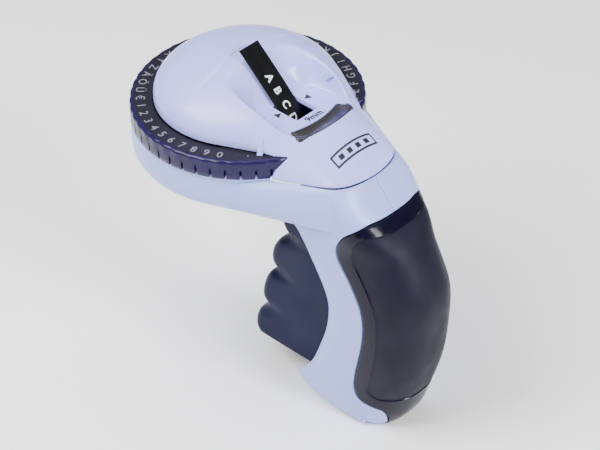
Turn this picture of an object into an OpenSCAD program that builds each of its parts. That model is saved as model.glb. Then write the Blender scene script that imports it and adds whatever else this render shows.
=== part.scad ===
// Pistol-grip embossing label maker: a letter wheel under a domed head,
// a squeeze trigger, and a tape compartment in the back of the handle.
// Frame: +Z up along the wheel's axis, +X back towards the handle, Y = 0 on the
// middle plane. The origin is the centre of the flat pad under the head.

/* [Wheel] */
// Outer radius of the letter ring
ring_r = 41; // [40.6:0.1:41]
// Depth of the letter ring's rim
ring_depth = 7.4; // [7:0.1:7.4]
// Number of characters round the wheel
characters = 49; // [40:1:56]

/* [Head] */
// Height of the letter ring's top face above the pad
ring_z = 22.5; // [22.5:0.1:23]
// Radius of the dome where it meets the letter ring
dome_r = 32.6; // [32.4:0.1:32.6]
// Height of the dome above the letter ring
dome_h = 16.6; // [16:0.1:16.6]
// Wall thickness of covers and housings
wall = 2.2; // [1.8:0.1:2.2]

/* [Handle] */
// Largest half width of the handle
grip_half_w = 17.4; // [17.2:0.1:17.8]
// Squareness of the handle's cross-section
grip_power = 2.6; // [2.4:0.1:2.8]

/* [Tape] */
// Width of the embossing tape
tape_w = 9; // [6:0.5:9]
// Thickness of the embossing tape
tape_t = 0.3; // [0.2:0.05:0.3]
// Outer radius of the part-used tape roll
roll_r = 12.5; // [10:0.5:12.5]

/* [Trigger] */
// Half width of the trigger
trigger_half_w = 12.1; // [12:0.1:12.2]

/* [Hidden] */
$fn = 64;

// Gap between neighbouring shells, and running clearance on pins
gap = 0.3;
run = 0.05;
pitch = 360 / characters;

// Head: flat pad, floor, rounded lower edge, shoulder and the split under the cover
pad_r = 10;
pad_rise = 0.8;
floor_top = 2.2;
edge_round = 7;
shoulder_z = 8.5;
split_z = ring_z - 7.85;
flank_angle = 64;
neck_half_w = 17.8;
nose_x = 59.7;
nose_bend = 83;
seam_angle = 69.7;
seam_reach = 33.85;
seam_slope = 0.073;
seam_start = [32.9, -23.9];
door_top_z = 6.3;

// Pivots and centres as [x, z]
trigger_pivot = [40, -3.5];
lever_pivot = [58, 6.5];
pawl_pivot = [58, 3];
hinge_pivot = [67.4, -79.6];
roll_centre = [66.3, -35.5];
feed_centre = [50, ring_z - 14.8];
pinch_centre = [50, ring_z - 6.8];
trigger_pin_r = 1.5;
lever_pin_r = 1.25;
hinge_pin_r = 1.1;
shaft_r = 1.5;
feed_r = 4.5;
pinch_r = 3;
spool_r = 8;
spool_shaft_r = 3;
hinge_half_w = 5;

// Screws: two across the handle, two up into the cover
handle_screw_places = [[51, -10.5], [59, -73]];
cover_screw_places = [[-14, 16], [-14, -16]];
screw_r = 1.25;
screw_head_r = 2.4;
screw_hole_r = 1.6;
screw_head_h = 1.6;
cover_screw_seat = pad_rise + screw_head_h;

// Tape slot, window over the letter ring, die wheel and press
slot_x = [16.9, 28.6];
slot_half_w = 5;
slot_z = ring_z + 4.5;
window_r = [33.4, 40.3];
window_angle = 20.5;
die_z = ring_z - 4.7;
die_t = 0.8;
die_tip_r = 27;

// Smooth curve through a short list of [key, value] pairs
function span(t, k, i = 0) = i >= len(k) - 2 || t < k[i + 1][0] ? i : span(t, k, i + 1);
function slope(k, i) =
    let (a = max(i - 1, 0), b = min(i + 1, len(k) - 1)) (k[b][1] - k[a][1]) / (k[b][0] - k[a][0]);
function curve(t, k) =
    let (i = span(t, k), h = k[i + 1][0] - k[i][0], u = min(1, max(0, (t - k[i][0]) / h)))
    (2 * u ^ 3 - 3 * u ^ 2 + 1) * k[i][1] + (u ^ 3 - 2 * u ^ 2 + u) * h * slope(k, i)
    + (3 * u ^ 2 - 2 * u ^ 3) * k[i + 1][1] + (u ^ 3 - u ^ 2) * h * slope(k, i + 1);
function smooth(t, a, b) = let (u = min(1, max(0, (t - a) / (b - a)))) u * u * (3 - 2 * u);
function mix(a, b, s) = a * (1 - s) + b * s;
function backwards(p) = [for (i = [len(p) - 1:-1:0]) p[i]];
// The handle's bottom slopes down towards its back
function sloped(p, z) = [for (q = p) [q[0], q[1], z - 0.123 * (q[0] - 50) * smooth(-z, 66, 79)]];

// Solid skinned over a stack of closed loops, each with the same even number of points.
// Seen from the first loop, looking towards the last, every loop turns anticlockwise.
module skin(loops) {
    n = len(loops[0]);
    last = (len(loops) - 1) * n;
    half = n / 2;
    sides = [for (k = [0:len(loops) - 2]) for (i = [0:n - 1])
        let (a = k * n + i, b = k * n + (i + 1) % n)
        each [[a, b, b + n], [a, b + n, a + n]]];
    caps = [for (i = [0:half - 2]) let (a = i, b = i + 1, c = n - 2 - i, d = n - 1 - i)
        each concat(
            c > b ? [[b, a, d], [b, d, c]] : [[b, a, d]],
            c > b ? [[last + a, last + b, last + c], [last + a, last + c, last + d]]
                : [[last + a, last + b, last + d]])];
    polyhedron([for (loop = loops) each loop], concat(sides, caps));
}

// Round bar along Y, centred on y = 0
module bar(place, r, half_length) {
    translate([place[0], 0, place[1]]) rotate([90, 0, 0]) cylinder(r = r, h = 2 * half_length, center = true);
}

// Plate in the XZ plane, from y = low to y = high
module plate(low, high) {
    translate([0, high, 0]) rotate([90, 0, 0]) linear_extrude(high - low) children();
}

module both_sides() {
    children();
    mirror([0, 1, 0]) children();
}

// ---- Skin of the handle, as side-view curves of [z, x] ----
back_line = [[-84.5, 67.5], [-80.5, 72.5], [-72, 78.4], [-58.5, 83.4], [-48.5, 85.8], [-31.5, 87.6],
    [-24.5, 87.8], [-18, 86.2], [-5.5, 79.5], [0.5, 75], [6.5, 68.5], [13.5, 61.5]];
front_line = [[-80, 33.8], [-76, 34.6], [-65.5, 42.2], [-53.5, 47.4], [-45, 50.2], [-36.5, 51.3],
    [-31.5, 50.5], [-26, 48], [-18.5, 43.6], [-11.5, 39.2], [-7.2, 35.2], [-4.5, 29], [1, 22]];
door_line = [[-83, 66.5], [-80, 71], [-76, 73.4], [-72, 72.6], [-69.8, 69.5], [-69, 65.2],
    [-64, 63.7], [-57.5, 64.8], [-44.5, 67.8], [-35, 68.8], [-27, 67.6], [-18.5, 63.2],
    [-12, 58.8], [-9, 57.5], [-5.5, 57.6], [1, 61.3], [6.4, 67.9]];
middle_line = [[-84, 52], [-64, 53], [-50, 58], [-36, 60], [-25, 58], [-9, 51], [0, 57], [13.5, 57]];
width_line = [[-84.5, 12.5], [-80, 15], [-70, 16.6], [-40, grip_half_w], [-9, grip_half_w],
    [0, neck_half_w], [13.5, neck_half_w]];

function back_x(z) = curve(z, back_line);
function front_x(z) = curve(z, front_line);
function door_x(z) = curve(z, door_line);
function middle_x(z) = curve(z, middle_line);
function half_w(z) = curve(z, width_line);

// Half width of the side panels' skin at x, with the wall taken off by inset
function panel_y(x, z, inset = 0) =
    let (m = middle_x(z), a = x < m ? (m - front_x(z)) / 0.62 : back_x(z) - m - inset)
    (half_w(z) - inset) * (1 - min(1, abs(x - m) / a) ^ grip_power) ^ (1 / grip_power);

// Angle on the back of the skin where the tape door's edge lies, and a point there
function door_angle(z) =
    acos(min(1, (door_x(z) - middle_x(z)) / (back_x(z) - middle_x(z))) ^ (grip_power / 2));
function back_point(t, z, inset = 0) =
    let (m = middle_x(z), a = back_x(z) - m - inset)
    [m + a * abs(cos(t)) ^ (2 / grip_power),
     sign(t) * (half_w(z) - inset) * abs(sin(t)) ^ (2 / grip_power)];

// ---- Outline of the head from its front to the neck's back, on the -Y side ----
// u runs along the letter ring's edge, a straight flank and the rounded neck.
function arc_part(r, from, to, n) =
    [for (i = [0:n]) let (a = from + (to - from) * i / n) [r * cos(a), -r * sin(a)]];
function flank_y(x) = (ring_r - x * cos(flank_angle)) / sin(flank_angle);
function flank_part(a, b, n) = [for (i = [1:n]) mix(a, b, i / (n + 1))];
function head_full(inset, edge_inset, z, end) =
    let (ring = arc_part(ring_r - inset - edge_inset, 180, flank_angle, 9),
        neck = [for (i = [0:5]) back_point(-90 + (90 - end) * i / 5, z, inset)])
    concat(ring, flank_part(ring[9], neck[0], 3), neck);
function head_top(inset, z) =
    let (ring = arc_part(ring_r - 0.2 - inset, 180, 36, 9),
        seam = [for (i = [0:5]) let (a = 17 - 3.4 * i, r = cover_edge_r(a) - inset) [r * cos(a), -r * sin(a)]])
    concat(ring, flank_part(seam_start + [0, inset], seam[0], 3), seam);
function seam_rise(x) = seam_slope * max(0, x - seam_start[0]);
function lifted(p, z) = [for (q = p) [q[0], q[1], z + seam_rise(q[0]) * smooth(z, shoulder_z, split_z)]];

// One ring of the head's half shell: outer and inner outline at height z
function shoulder(z) = z > shoulder_z ? (1 - min(1, (z - shoulder_z) / (split_z - shoulder_z)) ^ 1.6) ^ 0.7 : 1;
function edge_inset(z) = z < edge_round ? edge_round - sqrt(edge_round ^ 2 - (edge_round - z) ^ 2) : 0;
function door_end(z) = z < door_top_z ? door_angle(z) + 0.8 : 0;
function head_outline(z, inset) =
    let (full = head_full(inset, edge_inset(z), z, door_end(z)), top = head_top(inset, z))
    [for (i = [0:len(full) - 1]) mix(top[i], full[i], shoulder(z))];
function head_loop(z) =
    let (outer = head_outline(z, 0),
        inner = z > floor_top ? head_outline(z, wall)
            : [for (p = outer) [p[0] * 0.94, -0.02]])
    concat(lifted(outer, z), backwards(lifted(inner, z > pad_rise && z <= floor_top ? floor_top : z)));

// One ring of the handle's side panel
function panel_loop(z) =
    let (from = front_x(z), to = door_x(z) - gap, n = 12, embed = z > 0 ? 0.25 : 0,
        outer = [for (i = [0:n]) let (x = mix(from, to, i / n)) [x, -panel_y(x, z) + embed]],
        inner = [for (i = [0:n]) let (x = mix(from, to, i / n)) [x, -panel_y(x, z, wall)]])
    concat(sloped(outer, z), backwards(sloped(inner, z)));

// One ring of the tape door or of its pad: how far its outside lies in, and its thickness.
// The inside ends at the same x as the outside, so that it clears the side panels.
function door_loop(z, deep, deepest, share) =
    let (depth = back_x(z) - door_x(z), thick = min(deepest, 0.75 * depth), n = 16,
        end = door_angle(z) * share, m = middle_x(z),
        reach = (door_x(z) - m) / (back_x(z) - m - thick),
        inner_end = min(end, acos(min(1, reach) ^ (grip_power / 2))))
    concat(
        sloped([for (i = [0:n]) back_point(-end + 2 * end * i / n, z, min(thick / 2, deep(i / n)))], z),
        backwards(sloped([for (i = [0:n]) back_point(-inner_end + 2 * inner_end * i / n, z, thick)], z)));

// ---- Head and housings ----
sleeve_h = 3.8;
low_zs = [-1.5, -4.5, -7.2, -10, -13.5, -18.5, -26, -31.5, -36.5, -45, -53.5, -60, -65.5,
    -68.6, -70.2, -72, -74.5, -77, -79, -80.4];
module housing_half() {
    head_zs = [split_z, 14, 12.8, 11.4, 10, shoulder_z, 6.6, 5, 3.4, 2.3, 1.2, pad_rise];
    difference() {
        union() {
            skin([for (z = head_zs) head_loop(z)]);
            skin([for (z = concat([1.4], low_zs)) panel_loop(z)]);
            prow_floor_half();
            mirror([0, 1, 0]) intersection() {
                cylinder(r = pad_r, h = 1.4);
                translate([-20, 0, 0]) cube([40, 20, 5]);
            }
            // Sleeve round the cover screw
            translate(concat(cover_screw_places[1], pad_rise)) cylinder(r = 4.2, h = sleeve_h);
            housing_boss(trigger_pivot, trigger_pin_r, 4);
            housing_boss(lever_pivot, lever_pin_r, 3);
            housing_boss(feed_centre, shaft_r, 2.8);
            for (s = handle_screw_places) housing_boss(s, screw_r, 2.8, 0.05);
        }
        // Way through the head's floor for the trigger, lever and tape
        translate([19, -trigger_half_w - 0.8, -6]) cube([47, 30, 6 + floor_top + 0.9]);
        // Room for the door's bottom and its knuckle to swing in
        translate([66.6, -8.55, -90]) cube([20, 17.1, 20]);
        translate([64.6, -hinge_half_w - gap, -90]) cube([20, 20, 13]);
    }
    housing_boss(hinge_pivot, hinge_pin_r, 2.2, hinge_half_w + gap, 1.9);
}

// Boss on the housing's wall that holds the end of a bar
module housing_boss(place, bore, r, inner = 13, sink = 0.8) {
    in_neck = place[1] > 0 && place[0] < middle_x(0);
    skin_y = in_neck ? flank_y(place[0]) : panel_y(place[0], min(place[1], 0));
    outer_y = skin_y - sink;
    plate(-outer_y, -inner) translate(place) difference() {
        circle(r = r);
        circle(r = bore + run);
    }
}

module prow_floor_half() {
    tip = 34;
    tail = 66;
    half = 14.4;
    translate([50, 0, -80.2]) rotate([0, 7, 0]) translate([-50, 0, 0]) linear_extrude(2.4)
        polygon(concat([[tail, -0.05], [tip, -0.05]],
            [for (i = [1:8]) let (t = 11.25 * i)
                [tip + 12 * (1 - cos(t)), -half * sin(t) ^ 0.8]], [[tail, -half]]));
}

// ---- Top cover: dome, tape scoop and neck as one height over the plan ----
ridge_line = [[0, 16.6], [10, 16.3], [20, 15.2], [28, 13.1], [34, 10.6], [42, 6], [51.9, 0.1],
    [59.7, -5.2], [62, -7]];
scoop_line = [[-3.5, 16.3], [3, 15.4], [10, 10.1], [15.5, 4.7], [18, 4.5], [33, 4.5], [37, 5], [41.5, 6.3]];
scoop_floor = [[-3.5, 7], [0, 9.2], [5.5, 8.6], [10.5, 7.4], [13, 9.4], [19.4, 13], [28, 14.6], [36, 13.4],
    [41.5, 9]];
scoop_middle = 19;
scoop_half_l = 22.5;
scoop_half_w = 17.6;
scoop_power = 2.4;
wall_angle = 36.5;

function cover_foot(x) = mix(1, -7.4, smooth(x, 28, 36)) + seam_rise(x);
function cover_ridge(x) =
    x < 0 ? 1 + (dome_h - 1) * max(0, 1 - (x / dome_r) ^ 2) ^ 0.45 : curve(x, ridge_line);
function cover_half_w(x) =
    x < dome_r * cos(65) ? sqrt(max(0.01, dome_r ^ 2 - x ^ 2))
    : mix((dome_r - x * cos(65)) / sin(65), (seam_reach - x * cos(seam_angle)) / sin(seam_angle),
        smooth(x, 29, 35));
function cover_skin(x, y) =
    let (foot = cover_foot(x))
    foot + (cover_ridge(x) - foot) * max(0, 1 - (y / cover_half_w(x)) ^ 2) ^ mix(0.45, 0.7, smooth(x, 20, 38));
function cover_z(x, y) =
    let (r = abs(x - scoop_middle) / scoop_half_l,
        w = r < 1 ? scoop_half_w * (1 - r ^ scoop_power) ^ (1 / scoop_power) : 0, base = cover_skin(x, y))
    ring_z + (abs(y) >= w ? base
        : let (low = curve(x, scoop_line), flat = min(curve(x, scoop_floor), 0.86 * w),
            side = max(0, abs(y) - flat) / (w - flat))
        min(base, low + side ^ 1.3 * (cover_skin(x, w) - low)));
function cover_edge_r(a) =
    let (flank = seam_reach / cos(seam_angle - a), nose = nose_x * (1 - (a / nose_bend) ^ 2))
    a > 65 ? dome_r : a > wall_angle ? dome_r / cos(65 - a)
    : (flank ^ -24 + nose ^ -24) ^ (-1 / 24);
function cover_base_z(a, x) = a > wall_angle ? ring_z + 0.35 : split_z + gap + seam_rise(x);

module cover_shell() {
    half_angles = [3.4, 6.8, 10.2, 13.6, 17, 21, 25, 28.5, 31.5, 34, 36.2, 36.8, 40, 45, 50, 56, 62, 68, 75, 82, 90,
        99, 108, 117, 126, 135, 144, 153, 162, 171];
    angles = concat([-180], [for (a = backwards(half_angles)) -a], [0], half_angles);
    shares = [0.06, 0.14, 0.22, 0.3, 0.38, 0.46, 0.54, 0.62, 0.7, 0.78, 0.85, 0.91, 0.96, 0.99];
    outer = [for (t = shares) [for (a = angles)
        let (r = t * cover_edge_r(abs(a)), x = r * cos(a), y = r * sin(a)) [x, y, cover_z(x, y)]]];
    rim = [for (in = [0, wall]) [for (a = angles)
        let (r = cover_edge_r(abs(a)) - in, x = r * cos(a)) [x, r * sin(a), cover_base_z(abs(a), x)]]];
    inner = [for (k = [len(shares) - 1:-1:0]) [for (i = [0:len(angles) - 1])
        let (p = outer[k][i], a = abs(angles[i]), s = 1 - wall / cover_edge_r(a))
        [p[0] * s, p[1] * s, max(cover_base_z(a, p[0] * s) + 0.4 * (1.1 - shares[k]), p[2] - wall)]]];
    skin(concat(outer, rim, inner));
}

module ring_sector(inner_r, outer_r, half_angle, low, high) {
    translate([0, 0, low]) rotate([0, 0, -half_angle]) rotate_extrude(angle = 2 * half_angle)
        translate([inner_r, 0]) square([outer_r - inner_r, high - low]);
}

module top_cover() {
    color([0.8, 0.81, 0.92]) difference() {
        union() {
            cover_shell();
            for (p = cover_screw_places) translate([p[0], p[1], pad_rise + sleeve_h])
                cylinder(r = 3, h = 27);
        }
        translate([slot_x[0], -slot_half_w, slot_z - 6])
            cube([slot_x[1] - slot_x[0], 2 * slot_half_w, 12]);
        ring_sector(window_r[0], window_r[1], window_angle, ring_z + 0.6, ring_z + 12);
        translate([0, 0, split_z - 1]) difference() {
            cylinder(r = ring_r + 0.35, h = ring_z - split_z + 1.3);
            translate([0, 0, -1]) cylinder(r = dome_r - 0.3, h = ring_z - split_z + 4);
        }
        for (p = cover_screw_places) translate([p[0], p[1], 2]) cylinder(r = screw_r + run, h = 16);
    }
}

module window_lens() {
    n = 12;
    radii = [for (i = [0:5]) mix(window_r[0] + gap, window_r[1] - gap, i / 5)];
    loops = [for (k = [0:n]) let (a = mix(-window_angle + 0.6, window_angle - 0.6, k / n))
        [for (side = [-1.5, -0.2]) each [for (i = [0:5])
            let (r = side < -1 ? radii[i] : radii[5 - i], x = r * cos(a), y = r * sin(a))
            [x, y, cover_z(x, y) + side]]]];
    color([0.45, 0.42, 0.42]) skin(loops);
}

module left_housing() {
    color([0.72, 0.76, 0.88]) difference() {
        housing_half();
        housing_screw_holes();
    }
}

module right_housing() {
    color([0.72, 0.76, 0.88]) difference() {
        mirror([0, 1, 0]) housing_half();
        mirror([0, 1, 0]) housing_screw_holes();
        // Pockets for the handle screws' heads
        for (s = handle_screw_places) plate(handle_screw_seat, 25) translate(s) circle(r = screw_head_r + gap);
    }
}

// ---- Tape door, its pad, hinge and latch ----
module tape_door() {
    color([0.13, 0.1, 0.22]) difference() {
        union() {
            skin([for (z = concat([6, 4.6, 2.6, 1], low_zs)) door_loop(z, function (s) pad_here(s, z) ? pad_t + 0.1 : 0, 2.4, 1)]);
            // Knuckle round the hinge pin, and its web up to the door
            difference() {
                union() {
                    bar(hinge_pivot, 2.3, hinge_half_w);
                    plate(-hinge_half_w, hinge_half_w) polygon([hinge_pivot + [-1, 1.5],
                        hinge_pivot + [3.6, -1.5], hinge_pivot + [6, 4], hinge_pivot + [6.6, 7]]);
                }
                bar(hinge_pivot, hinge_pin_r + run, hinge_half_w + 1);
            }
        }
        bar(hinge_pivot, hinge_pin_r + run, hinge_half_w + 1);
    }
}

// The pad covers the door except a border along its edges
function pad_here(s, z) = s > 0.06 && s < 0.94 && z < 1.5 && z > -66;
pad_t = 1.1;

module grip_pad() {
    zs = [0.6, -2.2, -5.5, -9, -12, -18.5, -27, -35, -44.5, -52, -60, -65.3];
    color([0.24, 0.22, 0.29]) skin([for (z = zs) door_loop(z, function (s) 0, pad_t, 0.82)]);
}

module door_hinge_pin() {
    color("silver") bar(hinge_pivot, hinge_pin_r, hinge_half_w + 3.5);
}

// Spring catch in the top edge of the door
module door_latch() {
    color([0.13, 0.1, 0.22]) plate(-3, 3)
        polygon([[62.6, 7.4], [64.6, 7.4], [64.6, 1.6], [70.3, 1.6], [70.3, -0.6], [63.6, -0.6],
            [63.6, 6], [62.6, 6.4]]);
}

// ---- Trigger ----
trigger_front = [[27.4, -19.6], [22.4, -24.5], [19.8, -29], [19, -34.4], [20.6, -38.8],
    [16.9, -42.3], [14.8, -47], [13.8, -52.8], [15, -56.9], [11.4, -62], [10, -67.6], [11.2, -70.6]];
trigger_back = [[46, -70.6], [50, -61], [52.5, -52], [54, -44], [54, -35], [52.5, -26], [49, -19],
    [45.5, -12], [45.4, -6], [43.5, -0.2]];
trigger_top = [[40, 1], [36.4, -1], [32, -5.4], [26.4, -8.8], [25, -12.8]];
trigger_wall = 2.2;
nose_place = [44.6, -0.7];

module trigger_outline() {
    polygon(concat(trigger_front, trigger_back, trigger_top));
}

module trigger() {
    inner_w = trigger_half_w - trigger_wall;
    color([0.11, 0.14, 0.3]) difference() {
        union() {
            difference() {
                plate(-trigger_half_w, trigger_half_w) trigger_outline();
                // Hollow behind the front wall, open to the back
                plate(-inner_w, inner_w) translate([3.4, 0]) trigger_outline();
                plate(-inner_w, inner_w) polygon([[33, -10], [36, 8], [60, 8], [60, -67], [30, -67]]);
            }
            bar(nose_place, 1.5, trigger_half_w - 1);
        }
        bar(trigger_pivot, trigger_pin_r + run, 20);
    }
}

module trigger_pin() {
    color("silver") bar(trigger_pivot, trigger_pin_r, 14);
}

// Torsion spring round the trigger's pin: coil between two straight legs
module trigger_spring() {
    r = 2.6;
    wire = 0.4;
    turns = 4;
    steps = 16 * turns;
    leg_end = [43.5, -2, -11.5];
    coil = [for (i = [0:steps]) let (a = 215 + 360 * i / 16 + 110 * i / steps)
        [trigger_pivot[0] + r * cos(a), -6 + 4 * i / steps, trigger_pivot[1] + r * sin(a)]];
    tube(concat(coil, [leg_end]), wire);
}

// Round wire of 8 sides along a list of points
module tube(route, r) {
    n = len(route);
    function ahead(i) = let (d = route[min(i + 1, n - 1)] - route[max(i - 1, 0)]) d / norm(d);
    side = [0, 1, 0];
    color("silver") skin([for (i = [0:n - 1])
        let (t = ahead(i), u = cross(side, t) / norm(cross(side, t)), v = cross(t, u))
        [for (k = [0:7]) route[i] + r * (cos(-45 * k) * v + sin(-45 * k) * u)]]);
}

// ---- Letter wheel ----
module character_ring() {
    top = ring_z;
    low = ring_z - ring_depth;
    color([0.2, 0.17, 0.35]) difference() {
        rotate_extrude($fn = 128) polygon([[dome_r + 0.2, top], [ring_r - 0.8, top], [ring_r, top - 0.9],
            [ring_r, low + 1.2], [ring_r - 1, low], [dome_r + 0.2, low]]);
        for (i = [0:characters - 1]) rotate([0, 0, pitch * (i + 0.5)])
            translate([ring_r + 0.35, 0, low - 1]) cylinder(r = 0.9, h = 4.6, $fn = 16);
    }
}

module die_wheel() {
    color([0.25, 0.25, 0.28]) union() {
        translate([0, 0, die_z]) linear_extrude(die_t) difference() {
            circle(r = dome_r + 0.15, $fn = 128);
            circle(r = die_tip_r, $fn = 128);
            for (i = [0:characters - 1]) rotate([0, 0, pitch * (i + 0.5)])
                translate([die_tip_r - 1, -0.35]) square([5.2, 0.7]);
        }
        for (i = [0:characters - 1]) rotate([0, 0, pitch * i])
            translate([die_tip_r + 0.5, -0.9, die_z - 0.5]) cube([2, 1.8, 0.6]);
    }
}

// Fixed collar that the letter ring turns on, open towards the neck
module wheel_collar() {
    outer = dome_r + 0.2 - run;
    color([0.6, 0.6, 0.62]) difference() {
        union() {
            translate([0, 0, floor_top + 0.6]) cylinder(r = outer, h = die_z - 1.2 - floor_top, $fn = 128);
            translate([0, 0, split_z - 1.8]) cylinder(r = ring_r - 5, h = 2, $fn = 128);
        }
        cylinder(r = outer - 2, h = 40, $fn = 128);
        translate([10, -20, -1]) cube([60, 40, 40]);
        translate([24, -40, -1]) cube([40, 80, 40]);
    }
}

module detent_spring() {
    color("silver") translate([0, 0, die_z - 3.6]) linear_extrude(2.4)
        polygon([[-29.35, -9], [-28.9, -9], [-29.5, -2], [-29.1, 0], [-29.5, 2], [-28.9, 9],
            [-29.35, 9], [-30, 2], [-29.6, 0], [-30, -2]]);
}

// ---- Press ----
lever_side = [6.4, 8.8];
module press_lever() {
    color([0.55, 0.55, 0.58]) union() {
        both_sides() plate(lever_side[0], lever_side[1]) difference() {
            union() {
                translate(lever_pivot) circle(r = 3);
                polygon([lever_pivot + [-2, 2.2], lever_pivot + [1, -2.9], [53, 0.4], [51, -1.4], [44, 1.8],
                    [34, 3.6], [27, 6.6], [27, 11.4], [30, 11.4], [36, 8], [44, 4.4], [50, 3.4], [54, 5.6]]);
            }
            translate(lever_pivot) circle(r = lever_pin_r + run);
        }
        plate(-lever_side[1], lever_side[1]) polygon([[27, 6.6], [29.6, 6.6], [29.6, 11.4], [27, 11.4]]);
    }
}

module lever_pin() {
    color("silver") bar(lever_pivot, lever_pin_r, 14);
}

module platen() {
    color([0.2, 0.2, 0.2]) translate([26.9, -5.4, 11.4]) cube([2.1, 10.8, 2.9]);
}

module cutter_blade() {
    color("silver") plate(-5.4, 5.4)
        polygon([[25.9, 7], [26.9, 7], [26.9, 12.6], [26.4, 13.6], [25.9, 12.6]]);
}

module anvil() {
    color("silver") translate([27.2, -5, die_z + die_t + gap]) cube([4.4, 10, 5]);
}

// ---- Tape feed ----
module feed_roller() {
    color([0.15, 0.15, 0.15]) difference() {
        bar(feed_centre, feed_r, 5.4);
        bar(feed_centre, shaft_r + 0.9, 7);
    }
}

module feed_shaft() {
    color("silver") union() {
        bar(feed_centre, shaft_r, 14);
        bar(feed_centre, shaft_r + 0.88, 5.4);
    }
}

module ratchet_wheel() {
    teeth = 12;
    color([0.8, 0.8, 0.8]) plate(9.4, 10.9) difference() {
        polygon([for (i = [0:teeth - 1]) let (a = 360 * i / teeth)
            each [feed_centre + 3.9 * [cos(a), sin(a)], feed_centre + 3.1 * [cos(a + 6), sin(a + 6)]]]);
        translate(feed_centre) circle(r = shaft_r + 0.02);
    }
}

module feed_pawl() {
    color("silver") plate(9.4, 10.9) {
        polygon([[57.4, 3.4], [58.6, 2.6], [54.6, 6.2], [54.4, 7.4], [54, 6.2]]);
        translate(pawl_pivot) circle(r = 0.9);
    }
}

module pinch_roller() {
    color([0.15, 0.15, 0.15]) difference() {
        bar(pinch_centre, pinch_r, 5);
        bar(pinch_centre, 1 + run, 7);
    }
}

module pinch_shaft() {
    color("silver") bar(pinch_centre, 1, 9);
}

// Guide on each side of the tape, holding the ends of the pinch roller's shaft
module tape_guide() {
    color([0.6, 0.6, 0.62]) both_sides() plate(5.6, 6.2)
        difference() {
            polygon([[43, 12.7], [53.2, 12.7], [53.2, 14.4], [52, 16.8], [48, 17.2], [43, 14.2]]);
            translate(pinch_centre) circle(r = 1 + run);
        }
}

tape_route = [[53.3, -33], [53.6, -26], [56.4, -14], [59.4, -4], [60.2, 3], [60, 7.6], [58, 10.9],
    [55.6, 12.1], [53, 12.4], [46, 12.4], [38, 12.4], [34.2, 12.5], [32.6, 13.7], [31.7, 15.6],
    [30.2, 16.8], [28, 17], [26.2, 17.7], [22.6, 21.8], [17.9, 27.3], [10, 35], [1.4, 42.8]];
function route_point(t) = [for (axis = [0, 1])
    curve(t, [for (i = [0:len(tape_route) - 1]) [i, tape_route[i][axis]]])];
module tape_strip() {
    steps = 4 * (len(tape_route) - 1);
    centre = [for (i = [0:steps]) route_point(i / 4)];
    function side(i) = let (d = centre[min(i + 1, steps)] - centre[max(i - 1, 0)]) [-d[1], d[0]] / norm(d);
    color([0.1, 0.1, 0.11]) plate(-tape_w / 2, tape_w / 2)
        polygon(concat([for (i = [0:steps]) centre[i] + tape_t / 2 * side(i)],
            [for (i = [steps:-1:0]) centre[i] - tape_t / 2 * side(i)]));
}

module tape_roll() {
    color([0.1, 0.1, 0.11]) difference() {
        bar(roll_centre, roll_r, tape_w / 2);
        bar(roll_centre, spool_r + 0.05, tape_w);
    }
}

module tape_spool() {
    color([0.85, 0.85, 0.85]) difference() {
        bar(roll_centre, spool_r, tape_w / 2);
        bar(roll_centre, spool_shaft_r + run, tape_w);
    }
}

module spool_cradle() {
    color([0.7, 0.7, 0.72]) union() {
        both_sides() plate(5.4, 6.8) difference() {
            hull() {
                translate(roll_centre) circle(r = 9);
                translate(roll_centre + [-2, 19]) circle(r = 3);
            }
            translate(roll_centre + [-1, 12]) circle(r = 2);
        }
        bar(roll_centre, spool_shaft_r, 5.6);
        bar(roll_centre + [-2, 19], 1.6, 5.6);
    }
}

// ---- Screws ----
handle_screw_seat = 12.6;
module housing_screw_holes() {
    for (p = cover_screw_places) translate([p[0], p[1], -1]) {
        cylinder(r = screw_hole_r, h = 8);
        cylinder(r = screw_head_r + gap, h = cover_screw_seat + 1);
    }
}

// Screw with its head's seat at z = 0 and a cross recess in the head
module screw(length) {
    translate([0, 0, -0.6]) cylinder(r = screw_r, h = length + 0.6);
    translate([0, 0, -screw_head_h]) difference() {
        cylinder(r = screw_head_r, h = screw_head_h);
        rotate([0, 0, 45]) for (a = [0, 90]) rotate([0, 0, a]) translate([-1.5, -0.3, -1]) cube([3, 0.6, 1.8]);
    }
}

module handle_screws() {
    color("silver") for (s = handle_screw_places)
        translate([s[0], handle_screw_seat, s[1]]) rotate([90, 0, 0]) screw(24);
}

module cover_screws() {
    color("silver") for (p = cover_screw_places) translate([p[0], p[1], cover_screw_seat]) screw(14);
}

top_cover();
window_lens();
left_housing();
right_housing();
tape_door();
grip_pad();
door_hinge_pin();
door_latch();
trigger();
trigger_pin();
trigger_spring();
character_ring();
die_wheel();
wheel_collar();
detent_spring();
press_lever();
lever_pin();
platen();
cutter_blade();
anvil();
feed_roller();
feed_shaft();
ratchet_wheel();
feed_pawl();
pinch_roller();
pinch_shaft();
tape_guide();
tape_strip();
tape_roll();
tape_spool();
spool_cradle();
handle_screws();
cover_screws();
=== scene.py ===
"""Looks of the pistol-grip label maker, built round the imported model.

Frame: +Z up along the letter wheel's axis, +X back towards the handle, the origin
at the centre of the pad under the head. Lengths are in millimetres until a mesh is made.
"""
import math

import bpy
import numpy as np
from mathutils import Matrix, Vector


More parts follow.
